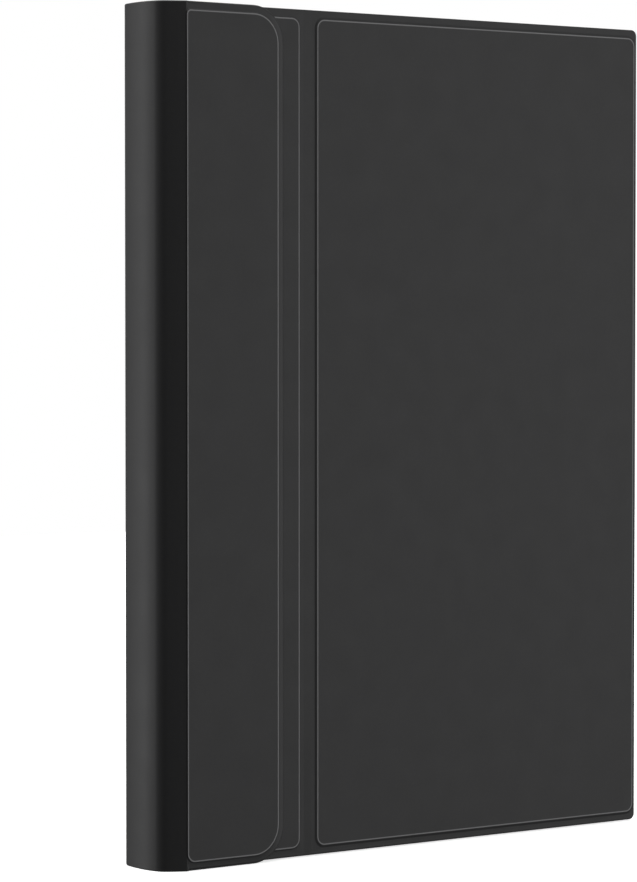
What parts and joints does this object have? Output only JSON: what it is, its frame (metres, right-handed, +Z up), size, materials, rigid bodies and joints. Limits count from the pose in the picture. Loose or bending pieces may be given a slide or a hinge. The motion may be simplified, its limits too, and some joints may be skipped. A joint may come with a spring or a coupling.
{
  "type": "tablet keyboard case",
  "caption": "Black leather-look tablet folio with rounded spine, magnetic back flap, folding stand, tablet tray and detachable keyboard.",
  "frame": {"origin": "centre of the base rectangle that the closed folio stands on", "axes": "+Z up along the long side, +X from the spine to the free edge, -Y faces the tablet side and +Y the keyboard cover"},
  "size_m": [0.188, 0.025, 0.256],
  "materials": {
    "pu_leather": "matte black fine-grain PU leather with heat-embossed panels",
    "stiffener_board": "grey fibre board, raw",
    "microfibre": "dark grey brushed microfibre lining",
    "soft_tpu": "matte black soft TPU, lightly textured",
    "magnet_nickel": "nickel-plated magnets",
    "steel": "plain rolled steel",
    "keyboard_plastic": "matte black moulded plastic with spark-eroded texture",
    "keycap_plastic": "satin black moulded keycaps with pale legends",
    "touchpad_surface": "satin touch surface",
    "silicone_domes": "translucent silicone",
    "membrane": "printed polyester film",
    "circuit": "green solder mask",
    "battery_foil": "foil pouch cell",
    "adhesive": "grey bonding film",
    "light_pipe": "clear light pipe"
  },
  "bodies": {
    "front_cover": {"front_cover_skin": "pu_leather", "front_cover_board": "stiffener_board", "front_cover_lining": "microfibre", "keyboard_dock_magnets": "magnet_nickel", "closure_magnets": "magnet_nickel", "stand_bar": "soft_tpu", "stand_bar_magnets": "magnet_nickel"},
    "cover_crease": {"cover_crease": "pu_leather"},
    "spine": {"spine_skin": "pu_leather", "spine_board": "stiffener_board", "spine_lining": "microfibre"},
    "flap_crease": {"flap_crease": "pu_leather"},
    "flap": {"flap_skin": "pu_leather", "flap_board": "stiffener_board", "flap_lining": "microfibre", "flap_magnets": "magnet_nickel"},
    "stand_strip": {"strip_skin": "pu_leather", "strip_board": "stiffener_board", "strip_steel_plate": "steel", "strip_lining": "microfibre"},
    "tablet_side": {"back_panel_skin": "pu_leather", "back_panel_board": "stiffener_board", "back_panel_lining": "microfibre", "tray_adhesive": "adhesive", "tablet_tray": "soft_tpu", "tray_edge_steel": "steel"},
    "keyboard": {"keyboard_top_case": "keyboard_plastic", "keyboard_bottom_case": "keyboard_plastic", "key_plate": "steel", "dome_sheet": "silicone_domes", "membrane_circuit": "membrane", "circuit_board": "circuit", "battery": "battery_foil", "usb_c_port": "steel", "status_light": "light_pipe", "keyboard_magnets": "magnet_nickel", "keyboard_feet": "soft_tpu", "case_screws": "steel", "touchpad_switch": "steel"},
    "power_switch": {"power_switch": "keyboard_plastic"},
    "touchpad": {"touchpad": "touchpad_surface"},
    "function_keys": {"function_keys": "keycap_plastic"},
    "number_keys": {"number_keys": "keycap_plastic"},
    "upper_letter_keys": {"upper_letter_keys": "keycap_plastic"},
    "home_letter_keys": {"home_letter_keys": "keycap_plastic"},
    "lower_letter_keys": {"lower_letter_keys": "keycap_plastic"},
    "modifier_keys": {"modifier_keys": "keycap_plastic"},
    "arrow_keys": {"arrow_keys": "keycap_plastic"},
    "backspace_key": {"backspace_key": "keycap_plastic"},
    "tab_key": {"tab_key": "keycap_plastic"},
    "caps_key": {"caps_key": "keycap_plastic"},
    "enter_key": {"enter_key": "keycap_plastic"},
    "left_shift_key": {"left_shift_key": "keycap_plastic"},
    "right_shift_key": {"right_shift_key": "keycap_plastic"},
    "space_bar": {"space_bar": "keycap_plastic", "space_bar_stabiliser": "steel"}
  },
  "joints": [
    {"name": "cover_hinge", "type": "hinge", "parent": "front_cover", "child": "cover_crease", "pos_m": [-0.0925, 0.0107, 0.128], "axis": [0, 0, -1], "range_deg": [0, 100]},
    {"name": "spine_fold", "type": "hinge", "parent": "cover_crease", "child": "spine", "pos_m": [-0.0925, 0.0107, 0.128], "axis": [0, 0, -1], "range_deg": [0, 90]},
    {"name": "flap_hinge", "type": "hinge", "parent": "spine", "child": "flap_crease", "pos_m": [-0.0925, -0.0107, 0.128], "axis": [0, 0, -1], "range_deg": [0, 90]},
    {"name": "flap_fold", "type": "hinge", "parent": "flap_crease", "child": "flap", "pos_m": [-0.0925, -0.0107, 0.128], "axis": [0, 0, -1], "range_deg": [-17, 0]},
    {"name": "tablet_release", "type": "slide", "parent": "flap", "child": "stand_strip", "axis": [1, 0, 0], "range_m": [0, 0.19]},
    {"name": "stand_fold", "type": "hinge", "parent": "stand_strip", "child": "tablet_side", "pos_m": [-0.039, -0.0095, 0.128], "axis": [0, 0, -1], "range_deg": [0, 36.5]},
    {"name": "keyboard_release", "type": "slide", "parent": "front_cover", "child": "keyboard", "axis": [1, 0, 0], "range_m": [0, 0.19]},
    {"name": "power_switch_slide", "type": "slide", "parent": "keyboard", "child": "power_switch", "axis": [1, 0, 0], "range_m": [0, 0.004]},
    {"name": "touchpad_press", "type": "slide", "parent": "keyboard", "child": "touchpad", "axis": [0, 1, 0], "range_m": [0, 0.00025], "stiffness_N_per_m": 6000, "springref_m": -0.0001},
    {"name": "function_row_press", "type": "slide", "parent": "keyboard", "child": "function_keys", "axis": [0, 1, 0], "range_m": [0, 0.0012], "stiffness_N_per_m": 500, "springref_m": -0.0002},
    {"name": "number_row_press", "type": "slide", "parent": "keyboard", "child": "number_keys", "axis": [0, 1, 0], "range_m": [0, 0.0012], "stiffness_N_per_m": 500, "springref_m": -0.0002},
    {"name": "upper_letter_row_press", "type": "slide", "parent": "keyboard", "child": "upper_letter_keys", "axis": [0, 1, 0], "range_m": [0, 0.0012], "stiffness_N_per_m": 500, "springref_m": -0.0002},
    {"name": "home_letter_row_press", "type": "slide", "parent": "keyboard", "child": "home_letter_keys", "axis": [0, 1, 0], "range_m": [0, 0.0012], "stiffness_N_per_m": 500, "springref_m": -0.0002},
    {"name": "lower_letter_row_press", "type": "slide", "parent": "keyboard", "child": "lower_letter_keys", "axis": [0, 1, 0], "range_m": [0, 0.0012], "stiffness_N_per_m": 500, "springref_m": -0.0002},
    {"name": "modifier_row_press", "type": "slide", "parent": "keyboard", "child": "modifier_keys", "axis": [0, 1, 0], "range_m": [0, 0.0012], "stiffness_N_per_m": 500, "springref_m": -0.0002},
    {"name": "arrow_row_press", "type": "slide", "parent": "keyboard", "child": "arrow_keys", "axis": [0, 1, 0], "range_m": [0, 0.0012], "stiffness_N_per_m": 500, "springref_m": -0.0002},
    {"name": "backspace_key_press", "type": "slide", "parent": "keyboard", "child": "backspace_key", "axis": [0, 1, 0], "range_m": [0, 0.0012], "stiffness_N_per_m": 500, "springref_m": -0.0002},
    {"name": "tab_key_press", "type": "slide", "parent": "keyboard", "child": "tab_key", "axis": [0, 1, 0], "range_m": [0, 0.0012], "stiffness_N_per_m": 500, "springref_m": -0.0002},
    {"name": "caps_key_press", "type": "slide", "parent": "keyboard", "child": "caps_key", "axis": [0, 1, 0], "range_m": [0, 0.0012], "stiffness_N_per_m": 500, "springref_m": -0.0002},
    {"name": "enter_key_press", "type": "slide", "parent": "keyboard", "child": "enter_key", "axis": [0, 1, 0], "range_m": [0, 0.0012], "stiffness_N_per_m": 500, "springref_m": -0.0002},
    {"name": "left_shift_key_press", "type": "slide", "parent": "keyboard", "child": "left_shift_key", "axis": [0, 1, 0], "range_m": [0, 0.0012], "stiffness_N_per_m": 500, "springref_m": -0.0002},
    {"name": "right_shift_key_press", "type": "slide", "parent": "keyboard", "child": "right_shift_key", "axis": [0, 1, 0], "range_m": [0, 0.0012], "stiffness_N_per_m": 500, "springref_m": -0.0002},
    {"name": "space_bar_press", "type": "slide", "parent": "keyboard", "child": "space_bar", "axis": [0, 1, 0], "range_m": [0, 0.0012], "stiffness_N_per_m": 500, "springref_m": -0.0002}
  ],
  "couplings": [
    {"joint": "stand_fold", "follows": "spine_fold", "ratio": 0.4},
    {"joint": "flap_fold", "follows": "spine_fold", "ratio": -0.1778}
  ]
}
